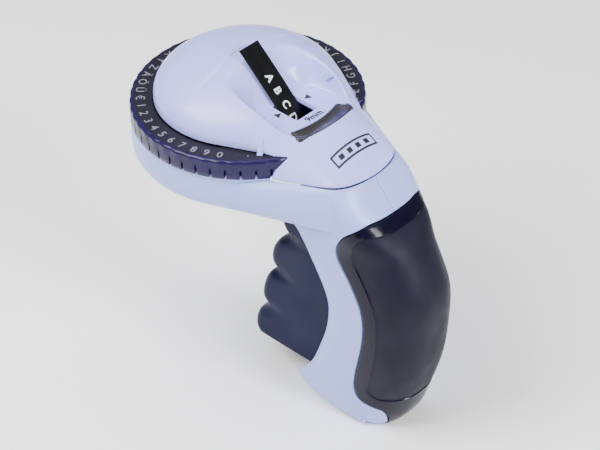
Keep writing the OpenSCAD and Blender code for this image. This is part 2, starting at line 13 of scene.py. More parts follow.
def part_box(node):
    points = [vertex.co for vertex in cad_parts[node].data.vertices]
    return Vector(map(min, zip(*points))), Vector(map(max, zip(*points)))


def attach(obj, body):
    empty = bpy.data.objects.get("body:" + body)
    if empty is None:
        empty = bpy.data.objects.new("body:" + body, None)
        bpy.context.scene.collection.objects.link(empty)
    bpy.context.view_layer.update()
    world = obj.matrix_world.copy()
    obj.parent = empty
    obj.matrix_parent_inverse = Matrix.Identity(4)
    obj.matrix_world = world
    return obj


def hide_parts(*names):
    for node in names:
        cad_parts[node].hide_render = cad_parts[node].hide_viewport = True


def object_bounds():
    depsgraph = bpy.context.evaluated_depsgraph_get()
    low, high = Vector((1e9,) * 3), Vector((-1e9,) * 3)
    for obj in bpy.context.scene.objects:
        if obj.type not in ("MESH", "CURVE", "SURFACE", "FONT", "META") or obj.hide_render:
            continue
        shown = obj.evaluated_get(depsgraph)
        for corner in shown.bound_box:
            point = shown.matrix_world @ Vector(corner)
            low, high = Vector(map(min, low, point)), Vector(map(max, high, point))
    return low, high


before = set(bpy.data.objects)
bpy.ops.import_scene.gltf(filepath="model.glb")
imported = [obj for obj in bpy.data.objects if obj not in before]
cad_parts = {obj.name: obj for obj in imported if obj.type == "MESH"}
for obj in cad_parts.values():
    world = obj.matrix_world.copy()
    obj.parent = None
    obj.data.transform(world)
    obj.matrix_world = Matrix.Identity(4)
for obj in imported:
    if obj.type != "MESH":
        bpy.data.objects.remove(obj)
cad_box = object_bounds()
scene = bpy.context.scene
MM = 0.001


def corners(node):
    """Lowest and highest corner of a CAD node in millimetres."""
    low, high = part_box(node)
    return np.array(low) / MM, np.array(high) / MM


# ---- Sizes taken from the frame ----
ring_low, ring_high = corners("character_ring")
trigger_low, trigger_high = corners("trigger")
ring_z = ring_high[2]
ring_r = ring_high[0]
trigger_half_w = trigger_high[1]
tape_half_w = corners("tape_strip")[1][1]

# ---- Sizes repeated from the CAD design ----
split_z = ring_z - 7.85
ring_clear = 0.35
dome_r = 32.6
dome_h = 16.6
wall = 2.2
grip_half_w = 17.4
grip_power = 2.6
neck_half_w = 17.8
flank_angle = 64.0
edge_round = 7.0
shoulder_z = 8.5
pad_rise = 0.8
pad_r = 10.0
nose_x = 59.7
nose_bend = 83.0
seam_angle = 69.7
seam_reach = 33.85
seam_slope = 0.073
seam_start = (32.9, -23.9)
wall_angle = 36.5
door_top_z = 6.3
gap = 0.3
slot_x = (16.9, 28.6)
slot_half_w = 5.0
window_r = (33.4, 40.3)
window_angle = 20.5
handle_screws = ((51.0, -10.5), (59.0, -73.0))
cover_screws = ((-14.0, 16.0), (-14.0, -16.0))
trigger_pivot = (40.0, -3.5)
lever_pivot = (58.0, 6.5)
hinge_pivot = (67.4, -79.6)
feed_centre = (50.0, 7.7)

# Outlines as pairs: [z, x] down the handle, [z, half width], [x, z] for the cover's ridge and scoop
back_line = ((-84.5, 67.5), (-80.5, 72.5), (-72, 78.4), (-58.5, 83.4), (-48.5, 85.8), (-31.5, 87.6),
             (-24.5, 87.8), (-18, 86.2), (-5.5, 79.5), (0.5, 75), (6.5, 68.5), (13.5, 61.5))
front_line = ((-80, 33.8), (-76, 34.6), (-65.5, 42.2), (-53.5, 47.4), (-45, 50.2), (-36.5, 51.3),
              (-31.5, 50.5), (-26, 48), (-18.5, 43.6), (-11.5, 39.2), (-7.2, 35.2), (-4.5, 29), (1, 22))
door_line = ((-83, 66.5), (-80, 71.2), (-76, 73.6), (-72, 73.2), (-71.2, 70), (-70, 65.8), (-68, 64.2),
             (-64, 63.7), (-57.5, 64.8), (-44.5, 67.8), (-35, 68.8), (-27, 67.6), (-18.5, 63.2),
             (-12, 58.8), (-9, 57.5), (-5.5, 57.6), (1, 61.3), (6.4, 67.9))
middle_line = ((-84, 52), (-64, 53), (-50, 58), (-36, 60), (-25, 58), (-9, 51), (0, 57), (13.5, 57))
width_line = ((-84.5, 12.5), (-80, 15), (-70, 16.6), (-40, grip_half_w), (-9, grip_half_w),
              (0, neck_half_w), (13.5, neck_half_w))
ridge_line = ((0, 16.6), (10, 16.3), (20, 15.2), (28, 13.1), (34, 10.6), (42, 6), (51.9, 0.1),
              (59.7, -5.2), (62, -7))
scoop_line = ((-3.5, 16.3), (3, 15.4), (10, 10.1), (15.5, 4.7), (18, 4.5), (33, 4.5), (37, 5),
              (41.5, 6.3))
trigger_front = ((-70.6, 11.2), (-67.6, 10), (-62, 11.4), (-56.9, 15), (-52.8, 13.8), (-47, 14.8),
                 (-42.3, 16.9), (-38.8, 20.6), (-34.4, 19), (-29, 19.8), (-24.5, 22.4), (-19.6, 27.4),
                 (-12.8, 25), (-8.8, 26.4), (-5.4, 32), (-1, 36.4), (1, 40))
trigger_hull = ((-70.6, 10.8), (-61.1, 11.4), (-47, 14.4), (-29, 19.5), (-19.1, 24.4), (1, 40))
trigger_back = ((-70.6, 46), (-61, 50), (-52, 52.5), (-44, 54), (-35, 54), (-26, 52.5), (-19, 49),
                (-12, 45.5), (-6, 45.4), (-0.2, 43.5), (1, 43))
# Middle of the tape as [x, z], from the roll to its free end
tape_route = ((53.3, -33), (53.6, -26), (56.4, -14), (59.4, -4), (60.2, 3), (60, 7.6), (58, 10.9),
              (55.6, 12.1), (53, 12.4), (46, 12.4), (38, 12.4), (34.2, 12.5), (32.6, 13.7),
              (31.7, 15.6), (30.2, 16.8), (28, 17), (26.2, 17.7), (22.6, 21.8), (17.9, 27.3),
              (10, 35), (1.4, 42.8))


# ---- Curves ----
def curve(t, table):
    """Smooth curve through [key, value] pairs."""
    keys, values = np.array(table, float).T
    count = len(keys)
    low = np.maximum(np.arange(count) - 1, 0)
    high = np.minimum(np.arange(count) + 1, count - 1)
    slopes = (values[high] - values[low]) / (keys[high] - keys[low])
    t = np.asarray(t, float)
    i = np.clip(np.searchsorted(keys, t, side="right") - 1, 0, count - 2)
    h = keys[i + 1] - keys[i]
    u = np.clip((t - keys[i]) / h, 0, 1)
    return ((2 * u ** 3 - 3 * u ** 2 + 1) * values[i] + (u ** 3 - 2 * u ** 2 + u) * h * slopes[i]
            + (3 * u ** 2 - 2 * u ** 3) * values[i + 1] + (u ** 3 - u ** 2) * h * slopes[i + 1])


def smooth(t, a, b):
    """Soft step from 0 at a to 1 at b."""
    u = np.clip((np.asarray(t, float) - a) / (b - a), 0, 1)
    return u * u * (3 - 2 * u)


def mix(a, b, s):
    """From a at 0 to b at 1."""
    return a * (1 - s) + b * s


def sloped(points):
    """Drops the handle's bottom towards its back."""
    points = np.array(points, float)
    points[:, 2] -= 0.123 * (points[:, 0] - 50) * smooth(-points[:, 2], 66, 79)
    return points


def panel_y(x, z):
    """Half width of the handle at [x, z]."""
    middle = curve(z, middle_line)
    to_front = (middle - curve(z, front_line)) / 0.62
    half = np.where(x < middle, to_front, curve(z, back_line) - middle)
    share = np.minimum(1, np.abs(x - middle) / half)
    return curve(z, width_line) * (1 - share ** grip_power) ** (1 / grip_power)


def back_point(t, z, inset=0.0):
    """Point [x, y] on the back of the handle's skin at angle t in degrees."""
    middle = curve(z, middle_line)
    depth = curve(z, back_line) - middle - inset
    t = np.radians(t)
    x = middle + depth * np.abs(np.cos(t)) ** (2 / grip_power)
    y = np.sign(t) * (curve(z, width_line) - inset) * np.abs(np.sin(t)) ** (2 / grip_power)
    return x, y


def door_angle(z, clear=0.0):
    """Angle in degrees at which the door ends on the skin at height z."""
    middle = curve(z, middle_line)
    share = (curve(z, door_line) - clear - middle) / (curve(z, back_line) - middle)
    return np.degrees(np.arccos(np.clip(share, 0, 1) ** (grip_power / 2)))


def seam_rise(x):
    """Rise of the seam between cover and housings behind the letter ring."""
    return seam_slope * np.maximum(0, x - seam_start[0])


def cover_edge_r(a):
    """Radius of the cover's outline at angle a in degrees."""
    a = np.abs(a)
    flank = seam_reach / np.cos(np.radians(seam_angle - a))
    nose = nose_x * (1 - (np.minimum(a, 60) / nose_bend) ** 2)
    near = (flank ** -24.0 + nose ** -24.0) ** (-1 / 24)
    side = dome_r / np.cos(np.radians(np.maximum(65 - a, 0)))
    return np.where(a > 65, dome_r, np.where(a > wall_angle, side, near))


# ---- Mesh helpers ----
def grid(rows, cols, keep=None, start=0, wrap=False, flip=False):
    """Quads over a grid of rows x cols points, as point numbers."""
    faces = []
    for r in range(rows - 1):
        for c in range(cols if wrap else cols - 1):
            if keep is not None and not keep[r][c]:
                continue
            d = (c + 1) % cols
            face = [r * cols + c, r * cols + d, (r + 1) * cols + d, (r + 1) * cols + c]
            face = [start + i for i in face]
            faces.append(face[::-1] if flip else face)
    return faces


def weld(points, faces):
    """Joins points that coincide and drops faces that collapse."""
    keys = np.round(np.array(points, float) * 2000).astype(np.int64)
    _, first, back = np.unique(keys, axis=0, return_index=True, return_inverse=True)
    back = back.ravel()
    welded = []
    for face in faces:
        corners_left = []
        for i in face:
            j = int(back[i])
            if j not in corners_left:
                corners_left.append(j)
        if len(corners_left) > 2:
            welded.append(corners_left)
    return only(np.array(points, float)[first], welded)


def only(points, faces):
    """The faces with just the points that they use."""
    used = sorted({i for face in faces for i in face})
    place = {old: new for new, old in enumerate(used)}
    return points[used], [[place[i] for i in face] for face in faces]


def border_of(faces):
    """Border sides, each border point's next and last neighbour, and the points that have both."""
    sides = {(f[k], f[(k + 1) % len(f)]) for f in faces for k in range(len(f))}
    border = [(a, b) for a, b in sides if (b, a) not in sides]
    ahead = {a: b for a, b in border}
    behind = {b: a for a, b in border}
    return border, ahead, behind, sorted(set(ahead) & set(behind))


def normals_of(points, faces):
    """Unit normal at each point."""
    total = np.zeros_like(points)
    for count in (3, 4):
        some = np.array([f for f in faces if len(f) == count])
        if not len(some):
            continue
        a = points[some[:, 2]] - points[some[:, 0]]
        b = points[some[:, 3 % count]] - points[some[:, 1]]
        n = np.cross(a, b)
        for k in range(count):
            np.add.at(total, some[:, k], n)
    return total / np.maximum(np.linalg.norm(total, axis=1, keepdims=True), 1e-12)


def cut(points, faces, axes, distance, lift):
    """Opens a hole where distance(p) < 0 and draws its border onto the outline."""
    centres = np.array([points[f].mean(0) for f in faces])
    gone = distance(centres[:, axes]) < 0
    inside = {i for f, g in zip(faces, gone) if g for i in f}
    kept = [f for f, g in zip(faces, gone) if not g]
    border = np.array(sorted({i for f in kept for i in f} & inside))
    flat = points[border][:, axes]
    step = 1e-3
    for _ in range(5):
        d = distance(flat)
        slope = np.stack([(distance(flat + np.eye(2)[k] * step) - d) / step for k in (0, 1)], 1)
        flat = flat - slope * d[:, None] / np.maximum((slope ** 2).sum(1), 0.2)[:, None]
    moved = points.copy()
    moved[np.ix_(border, axes)] = flat
    moved[border] = lift(moved[border])
    return only(moved, kept)


def rounded_box(centre, half, r):
    """Distance from a rounded rectangle, negative inside."""
    centre, half = np.array(centre), np.array(half) - r

    def distance(p):
        q = np.abs(p - centre) - half
        return np.linalg.norm(np.maximum(q, 0), axis=1) + np.minimum(q.max(1), 0) - r
    return distance


def disc(centre, r):
    """Distance from a circle, negative inside."""
    return lambda p: np.linalg.norm(p - np.array(centre), axis=1) - r


def walled(points, faces, thickness, edge=0.3, steps=3):
    """Closed wall: the surface, its copy moved inwards, and a rounded rim round every border."""
    points = np.array(points, float)
    n = normals_of(points, faces)
    inner = points - n * thickness
    border, ahead, behind, ids = border_of(faces)
    tangent = points[[ahead[i] for i in ids]] - points[[behind[i] for i in ids]]
    tangent /= np.maximum(np.linalg.norm(tangent, axis=1, keepdims=True), 1e-9)
    inwards = np.cross(n[ids], tangent)
    outer = points.copy()
    outer[ids] += edge * inwards
    rows = []
    for k in range(1, steps + 1):
        a = math.pi / 2 * k / steps
        in_by, down_by = edge * (1 - math.sin(a)), edge * (1 - math.cos(a))
        rows.append(points[ids] + inwards * in_by - n[ids] * down_by)
    count = len(points)
    everything = np.concatenate([outer, inner] + rows)
    place = {i: k for k, i in enumerate(ids)}
    out = [list(f) for f in faces] + [[i + count for i in reversed(f)] for f in faces]
    for a, b in border:
        if a not in place or b not in place:
            continue
        chain_a = [a] + [2 * count + r * len(ids) + place[a] for r in range(steps)] + [a + count]
        chain_b = [b] + [2 * count + r * len(ids) + place[b] for r in range(steps)] + [b + count]
        for k in range(len(chain_a) - 1):
            out.append([chain_b[k], chain_a[k], chain_a[k + 1], chain_b[k + 1]])
    return everything, out


def join(*parts):
    """One list of points and faces from several."""
    points, faces, start = [], [], 0
    for p, f in parts:
        points.append(np.array(p, float))
        faces += [[i + start for i in face] for face in f]
        start += len(p)
    return np.concatenate(points), faces


def mirrored(part):
    """The part on the other side of the middle plane."""
    points, faces = part
    return np.array(points) * [1, -1, 1], [f[::-1] for f in faces]


def moved(part, matrix):
    """The part placed by a 4 x 4 matrix."""
    points, faces = part
    m = np.array(matrix)
    return np.array(points) @ m[:3, :3].T + m[:3, 3], faces


def lathe(profile, segments):
    """Turns a closed [radius, height] profile round Z."""
    count = len(profile)
    points = []
    for k in range(segments):
        a = 2 * math.pi * k / segments
        points += [(r * math.cos(a), r * math.sin(a), h) for r, h in profile]
    faces = []
    for k in range(segments):
        this, following = k * count, (k + 1) % segments * count
        for i in range(count):
            j = (i + 1) % count
            faces.append([this + i, following + i, following + j, this + j])
    return weld(points, faces)


lying = Matrix.Rotation(math.radians(-90), 4, "X")


def tube_between(place, inner_r, outer_r, y_low, y_high):
    """Hollow boss along Y round an [x, z] place, with chamfered ends."""
    length, bevel = y_high - y_low, 0.25
    ring = lathe([(inner_r, bevel), (inner_r + bevel, 0), (outer_r - bevel, 0), (outer_r, bevel),
                  (outer_r, length - bevel), (outer_r - bevel, length), (inner_r + bevel, length),
                  (inner_r, length - bevel)], 48)
    return moved(ring, Matrix.Translation((place[0], y_low, place[1])) @ lying)


def slab(outline, low, high, bevel=0.4):
    """Plate from a closed outline seen from above, with rounded edges."""
    outline = np.array(outline, float)
    ahead, behind = np.roll(outline, -1, 0), np.roll(outline, 1, 0)
    tangent = ahead - behind
    tangent /= np.linalg.norm(tangent, axis=1, keepdims=True)
    inwards = np.stack([-tangent[:, 1], tangent[:, 0]], 1)
    layers = []
    for k in range(4):
        a = math.pi / 2 * k / 3
        layers.append((bevel * (1 - math.sin(a)), low + bevel * (1 - math.cos(a))))
    layers += [(inset, high + low - z) for inset, z in reversed(layers)]
    points = []
    for inset, z in layers:
        flat = outline + inwards * inset
        points += [(x, y, z) for x, y in flat]
    count = len(outline)
    faces = []
    for k in range(len(layers) - 1):
        for i in range(count):
            a, b = k * count + i, k * count + (i + 1) % count
            faces.append([a, b, b + count, a + count])
    faces.append(list(range(count - 1, -1, -1)))
    last = (len(layers) - 1) * count
    faces.append(list(range(last, last + count)))
    return np.array(points), faces


def make(name, part, material, body, replaced=(), sharp=42):
    """Blender object from points in millimetres and faces, riding on a body."""
    points, faces = part
    mesh = bpy.data.meshes.new(name)
    mesh.from_pydata([tuple(p) for p in np.array(points) * MM], [], faces)
    mesh.validate(clean_customdata=False)
    mesh.update()
    mesh.shade_smooth()
    mesh.set_sharp_from_angle(angle=math.radians(sharp))
    mesh.materials.append(material)
    piece = bpy.data.objects.new(name, mesh)
    scene.collection.objects.link(piece)
    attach(piece, body)
    if replaced:
        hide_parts(*replaced)
    return piece


def lettering(text, size, depth, boldness=0.0, bevel=0.0):
    """Flat letters centred on the origin, reading along +X with their tops towards +Y."""
    data = bpy.data.curves.new("lettering", "FONT")
    data.body = text
    data.size = size
    data.extrude = depth / 2
    data.bevel_depth = bevel
    data.bevel_resolution = 1
    data.offset = boldness
    data.resolution_u = 4
    data.align_x = "CENTER"
    data.align_y = "CENTER"
    holder = bpy.data.objects.new("lettering", data)
    scene.collection.objects.link(holder)
    bpy.context.view_layer.update()
    depsgraph = bpy.context.evaluated_depsgraph_get()
    mesh = bpy.data.meshes.new_from_object(holder.evaluated_get(depsgraph))
    points = np.array([v.co[:] for v in mesh.vertices])
    faces = [list(p.vertices) for p in mesh.polygons]
    bpy.data.objects.remove(holder)
    bpy.data.curves.remove(data)
    bpy.data.meshes.remove(mesh)
    points[:, :2] -= (points[:, :2].max(0) + points[:, :2].min(0)) / 2
    return points, faces


# ---- Materials ----
def linear(colour):
    """Linear colour from one given as 0-255 screen values."""
    c = np.array(colour, float) / 255
    return tuple(np.where(c <= 0.04045, c / 12.92, ((c + 0.055) / 1.055) ** 2.4)) + (1.0,)


class Finish:
    """Node-built material: colour drift, uneven gloss, moulding grain and worn edges."""

    def __init__(self, name, metallic=0.0, coat=0.0, shine=0.5):
        self.material = bpy.data.materials.new(name)
        self.material.use_nodes = True
        self.nodes = self.material.node_tree.nodes
        self.links = self.material.node_tree.links
        self.shader = self.nodes["Principled BSDF"]
        self.shader.inputs["Metallic"].default_value = metallic
        self.shader.inputs["Coat Weight"].default_value = coat
        self.shader.inputs["Specular IOR Level"].default_value = shine
        self.shader.inputs["Coat Roughness"].default_value = 0.08
        self.coords = self.nodes.new("ShaderNodeTexCoord")
        self.bump = None

    def noise(self, size, detail=3.0, stretch=(1, 1, 1)):
        """Noise whose features are about size millimetres across."""
        scale = self.nodes.new("ShaderNodeMapping")
        scale.inputs["Scale"].default_value = stretch
        self.links.new(self.coords.outputs["Object"], scale.inputs["Vector"])
        texture = self.nodes.new("ShaderNodeTexNoise")
        texture.inputs["Scale"].default_value = 1 / (size * MM)
        texture.inputs["Detail"].default_value = detail
        self.links.new(scale.outputs["Vector"], texture.inputs["Vector"])
        return texture.outputs["Fac"]

    def spread(self, value, low, high, start=0.3, end=0.7):
        """Maps a noise onto a range."""
        node = self.nodes.new("ShaderNodeMapRange")
        node.inputs["From Min"].default_value = start
        node.inputs["From Max"].default_value = end
        node.inputs["To Min"].default_value = low
        node.inputs["To Max"].default_value = high
        self.links.new(value, node.inputs["Value"])
        return node.outputs["Result"]

    def blend(self, amount, first, second):
        """Mixes two colours, each a constant or a socket."""
        node = self.nodes.new("ShaderNodeMix")
        node.data_type = "RGBA"
        self.links.new(amount, node.inputs["Factor"])
        for socket, colour in ((6, first), (7, second)):
            if isinstance(colour, tuple):
                node.inputs[socket].default_value = colour
            else:
                self.links.new(colour, node.inputs[socket])
        return node.outputs[2]

    def colour(self, base, drift, size, worn=None):
        """Base colour drifting between two tones, lighter in patches where edges are worn."""
        tone = self.blend(self.spread(self.noise(size), 0, 1), linear(base), linear(drift))
        if worn is not None:
            geometry = self.nodes.new("ShaderNodeNewGeometry")
            edge = self.spread(geometry.outputs["Pointiness"], 0, 1, 0.53, 0.6)
            patchy = self.nodes.new("ShaderNodeMath")
            patchy.operation = "MULTIPLY"
            self.links.new(edge, patchy.inputs[0])
            self.links.new(self.spread(self.noise(3), 0, 1, 0.45, 0.6), patchy.inputs[1])
            tone = self.blend(patchy.outputs[0], tone, linear(worn))
        self.links.new(tone, self.shader.inputs["Base Color"])
        return self

    def gloss(self, low, high, size=9):
        """Roughness that wanders between two values."""
        uneven = self.spread(self.noise(size, 4), low, high)
        self.links.new(uneven, self.shader.inputs["Roughness"])
        return self

    def grain(self, size, height, strength=1.0, detail=2.0, stretch=(1, 1, 1)):
        """Bump of about height millimetres."""
        node = self.nodes.new("ShaderNodeBump")
        node.inputs["Strength"].default_value = strength
        node.inputs["Distance"].default_value = height * MM
        self.links.new(self.noise(size, detail, stretch), node.inputs["Height"])
        if self.bump is not None:
            self.links.new(self.bump.outputs["Normal"], node.inputs["Normal"])
        self.links.new(node.outputs["Normal"], self.shader.inputs["Normal"])
        self.bump = node
        return self


cover_finish = (Finish("cover_plastic", coat=0.15, shine=0.4)
                .colour((163, 166, 240), (169, 172, 243), 22)
                .gloss(0.22, 0.34).grain(6, 0.03, 0.5).grain(0.35, 0.006, 0.6).material)
housing_finish = (Finish("housing_plastic", coat=0.1, shine=0.4)
                  .colour((146, 160, 226), (152, 166, 230), 18)
                  .gloss(0.28, 0.42).grain(0.45, 0.012, 0.7).material)
door_finish = (Finish("door_plastic", coat=0.12, shine=0.12)
               .colour((7, 4, 24), (9, 6, 28), 10, (24, 21, 46))
               .gloss(0.14, 0.26, 5).grain(3, 0.01, 0.5).material)
pad_finish = (Finish("grip_rubber", shine=0.12)
              .colour((20, 17, 32), (25, 22, 38), 9, (36, 33, 50))
              .gloss(0.42, 0.56, 6).grain(0.28, 0.03, 0.8, 3).material)
trigger_finish = (Finish("trigger_plastic", shine=0.1)
                  .colour((6, 10, 42), (9, 14, 48), 12, (20, 28, 66))
                  .gloss(0.36, 0.5).grain(0.35, 0.014, 0.8).material)
ring_finish = (Finish("ring_plastic", coat=0.1, shine=0.2)
               .colour((22, 15, 54), (27, 20, 62), 7, (52, 45, 92))
               .gloss(0.18, 0.32, 4).grain(1.2, 0.01, 0.6).material)
ring_top_finish = (Finish("ring_face_plastic", shine=0.2)
                   .colour((22, 19, 30), (27, 24, 36), 5)
                   .gloss(0.4, 0.55, 3).grain(0.3, 0.015, 0.8).material)
die_finish = (Finish("die_plastic").colour((34, 34, 38), (44, 44, 48), 4)
              .gloss(0.4, 0.55, 3).grain(0.4, 0.02).material)
frame_finish = (Finish("frame_plastic").colour((132, 134, 140), (142, 144, 150), 8)
                .gloss(0.4, 0.55, 4).grain(0.4, 0.02).material)
spool_finish = (Finish("spool_plastic").colour((222, 221, 214), (230, 229, 223), 6)
                .gloss(0.35, 0.5, 4).grain(0.5, 0.02).material)
steel_finish = (Finish("steel", metallic=1.0).colour((178, 178, 182), (196, 196, 200), 2)
                .gloss(0.22, 0.4, 1.5).grain(0.25, 0.01, 0.8, 2, (1, 12, 1)).material)
rubber_finish = (Finish("roller_rubber").colour((28, 28, 29), (38, 38, 39), 3)
                 .gloss(0.6, 0.8, 2).grain(0.3, 0.05).material)
tape_finish = (Finish("tape_vinyl", coat=0.1, shine=0.2).colour((7, 7, 10), (10, 10, 13), 4)
               .gloss(0.24, 0.38, 3).grain(0.5, 0.01, 0.6).material)
letter_finish = (Finish("embossed_white").colour((222, 224, 230), (200, 203, 212), 0.8)
                 .gloss(0.45, 0.6, 1).grain(0.25, 0.03).material)
print_finish = (Finish("grey_print").colour((122, 121, 134), (108, 107, 122), 2)
                .gloss(0.45, 0.6, 1).grain(0.2, 0.01).material)
ink_finish = (Finish("dark_ink").colour((18, 18, 26), (26, 26, 34), 2)
              .gloss(0.4, 0.55, 1).grain(0.2, 0.01).material)
floor_finish = (Finish("studio_floor").colour((250, 250, 251), (252, 252, 253), 120)
                .gloss(0.7, 0.8, 60).grain(8, 0.05, 0.1).material)


def smoked_lens():
    """Smoked clear plastic: darkens what lies below and shines on top."""
    finish = Finish("smoked_lens", coat=0.2)
    finish.colour((52, 46, 46), (62, 55, 54), 5).gloss(0.12, 0.22, 4).grain(2, 0.01, 0.5)
    finish.shader.inputs["Transmission Weight"].default_value = 0.6
    finish.shader.inputs["Alpha"].default_value = 0.8
    finish.material.surface_render_method = "DITHERED"
    return finish.material


lens_finish = smoked_lens()


# ---- Housings ----
ring_count, flank_count, neck_count, back_count = 70, 28, 26, 16
ring_end_angle = 36
neck_end_angle = 17


def round_the_axis(r, a):
    """Points [x, y] on the -Y side at radius r and angle a in radians."""
    return np.stack([r * np.cos(a), -r * np.sin(a)], 1)


def head_outline(z, inset):
    """Outline of the head on the -Y side, from its front to the middle of the neck's back."""
    above_shoulder = min(1, max(0, z - shoulder_z) / (split_z - shoulder_z))
    share = (1 - above_shoulder ** 1.6) ** 0.7
    a = np.radians(np.linspace(180, flank_angle, ring_count + 1))
    full_ring = round_the_axis(ring_r - inset, a)
    end = float(door_angle(min(z, door_top_z), gap))
    t = np.concatenate([np.linspace(-90, -end, neck_count + 1),
                        np.linspace(-end, 0, back_count + 1)[1:]])
    full_neck = np.stack(back_point(t, z), 1)
    a = np.radians(np.linspace(180, ring_end_angle, ring_count + 1))
    top_ring = round_the_axis(ring_r - 0.2, a)
    a = neck_end_angle * -t / 90
    seam = round_the_axis(cover_edge_r(a), np.radians(a))
    steps = np.linspace(0, 1, flank_count + 1)[1:-1, None]
    full_flank = mix(full_ring[-1], full_neck[0], steps)
    top_flank = mix(np.array(seam_start), seam[0], steps)
    full = np.concatenate([full_ring, full_flank, full_neck])
    top = np.concatenate([top_ring, top_flank, seam])
    return mix(top, full, share)


def housing_skin():
    """Outer surface of the left half: head, floor, neck and the handle's side."""
    down = 1 - np.cos(np.linspace(0, 1, 13) * math.pi / 2)
    wall_zs = list(split_z - (split_z - shoulder_z) * down)
    wall_zs += [7.6, 6.9, door_top_z]
    down = np.sin(np.linspace(0.12, 1, 14) * math.pi / 2)
    wall_zs += list(door_top_z - (door_top_z - pad_rise) * down)
    rows = []
    for z in wall_zs:
        under = edge_round - math.sqrt(edge_round ** 2 - max(0, edge_round - z) ** 2)
        outline = head_outline(z, under)
        rise = seam_rise(outline[:, 0]) * smooth(z, shoulder_z, split_z)
        rows.append(np.column_stack([outline, z + rise]))
    # The flat floor, drawn in from the last row to the middle plane
    last = rows[-1]
    for s in np.linspace(0, 1, 17)[1:]:
        rows.append(mix(last, last * [0.94, 0, 1], s))
    points = np.concatenate(rows)
    cols = len(rows[0])
    neck_start = ring_count + flank_count
    back_start = neck_start + neck_count
    keep = np.ones((len(rows) - 1, cols - 1), bool)
    keep[len(wall_zs) - 1:, neck_start:] = False
    below_door = [k for k, z in enumerate(wall_zs) if z <= door_top_z + 1e-6]
    keep[below_door[0]:, back_start:] = False
    faces = grid(len(rows), cols, keep, flip=True)
    # The handle's side below the neck
    front_count = 40
    panel_zs = np.concatenate([[pad_rise], np.linspace(0.2, -66, 70), np.linspace(-67, -80.4, 20)])
    shares = np.linspace(0, 1, front_count + 1) ** 0.8
    panel = []
    for z in panel_zs:
        middle, front = float(curve(z, middle_line)), float(curve(z, front_line))
        x = mix(front, middle, shares)
        lift = np.where(np.arange(len(x)) < front_count, 0.7, 0) if z == pad_rise else 0
        forward = np.column_stack([x, -panel_y(x, z), np.full(len(x), z) + lift])
        t = np.linspace(-90, -float(door_angle(z, gap)), neck_count + 1)[1:]
        behind = np.column_stack([*back_point(t, z), np.full(len(t), z)])
        panel.append(sloped(np.concatenate([forward, behind])))
    start = len(points)
    points = np.concatenate([points] + panel)
    faces += grid(len(panel), len(panel[0]), start=start, flip=True)
    return weld(points, faces)


def floor_lift(p):
    """Puts points on the head's flat underside."""
    return np.column_stack([p[:, :2], np.full(len(p), pad_rise)])


def side_lift(p):
    """Puts points on the handle's side."""
    return np.column_stack([p[:, 0], -panel_y(p[:, 0], p[:, 2]), p[:, 2]])


def boss_wall(place):
    """Outer surface's distance from the middle plane at a place in the side."""
    if place[1] > 0 and place[0] < 57:
        turn = math.radians(flank_angle)
        return (ring_r - place[0] * math.cos(turn)) / math.sin(turn)
    return float(panel_y(np.array(place[0]), min(place[1], 0)))


def prow_outline():
    """Half of the plate that closes the bottom of the handle, seen from above."""
    tip, tail, half = 34.0, 66.0, 14.4
    bend = np.radians(np.linspace(0, 90, 14))
    near = [(tip + 12 * (1 - math.cos(t)), -half * math.sin(t) ** 0.8) for t in bend]
    return near + [(tail, -half), (tail, -0.05)]


def floor_openings(p):
    """Distance from the way for trigger, lever and tape, and from the cover screw's hole."""
    way = rounded_box((42.5, 0), (23.5, trigger_half_w + 0.8), 2.0)
    return np.minimum(way(p), disc(cover_screws[1], 2.7)(p))


def housing(right=False):
    """Housing half with its bosses, prow and pad. The right one is a mirror image with screw holes."""
    points, faces = housing_skin()
    flat = [np.abs(points[f][:, 2] - pad_rise).max() < 0.02 for f in faces]
    others = [f for f, on_floor in zip(faces, flat) if not on_floor]
    floor = cut(points, [f for f, on_floor in zip(faces, flat) if on_floor], [0, 1],
                floor_openings, floor_lift)
    points, faces = weld(*join((points, others), floor))
    if right:
        for place in handle_screws:
            points, faces = cut(points, faces, [0, 2], disc(place, 2.75), side_lift)
    parts = [walled(points, faces, wall, 0.32)]
    # Bosses: place, bore radius, outer radius, inner end
    for place, bore, r, inner in ((trigger_pivot, 1.55, 4.0, 13.2), (lever_pivot, 1.3, 3.0, 13.2),
                                  (feed_centre, 1.55, 2.8, 13.2), (hinge_pivot, 1.15, 2.6, 5.3)):
        parts.append(tube_between(place, bore, r, -(boss_wall(place) - 1.2), -inner))
    for place in handle_screws:
        if right:
            parts.append(tube_between(place, 2.75, 4.0, -(boss_wall(place) - 0.6), -12.4))
            parts.append(tube_between(place, 1.35, 4.0, -12.6, -9))
        else:
            parts.append(tube_between(place, 1.3, 3.2, -(boss_wall(place) - 1.2), -0.2))
    tilt = (Matrix.Translation((50, 0, -80.2)) @ Matrix.Rotation(math.radians(7), 4, "Y")
            @ Matrix.Translation((-50, 0, 0)))
    parts.append(moved(slab(prow_outline(), 0, 2.4, 0.3), tilt))
    half_turn = np.radians(np.linspace(180, 360, 48))
    pad = np.stack([pad_r * np.cos(half_turn), pad_r * np.sin(half_turn)], 1)
    parts.append(slab(pad, 0, 1.4, 0.35))
    sleeve = lathe([(1.6, 2.4), (1.6, 4.6), (4.2, 4.6), (4.2, 1.0), (2.7, 1.0), (2.7, 2.4)], 40)
    parts.append(moved(sleeve, Matrix.Translation((*cover_screws[1], 0))))
    whole = join(*parts)
    return mirrored(whole) if right else whole


make("housing_left", housing(), housing_finish, "root", ("left_housing",))
make("housing_right", housing(right=True), housing_finish, "root", ("right_housing",))


# ---- Top cover ----
scoop_middle, scoop_half_l, scoop_half_w = 19.0, 22.5, 17.6
# Half width of the scoop's flat bottom as [x, y]
scoop_floor = ((-3.5, 7), (0, 9.2), (5.5, 8.6), (10.5, 7.4), (13, 9.4), (19.4, 13), (28, 14.6),
               (36, 13.4), (41.5, 9))


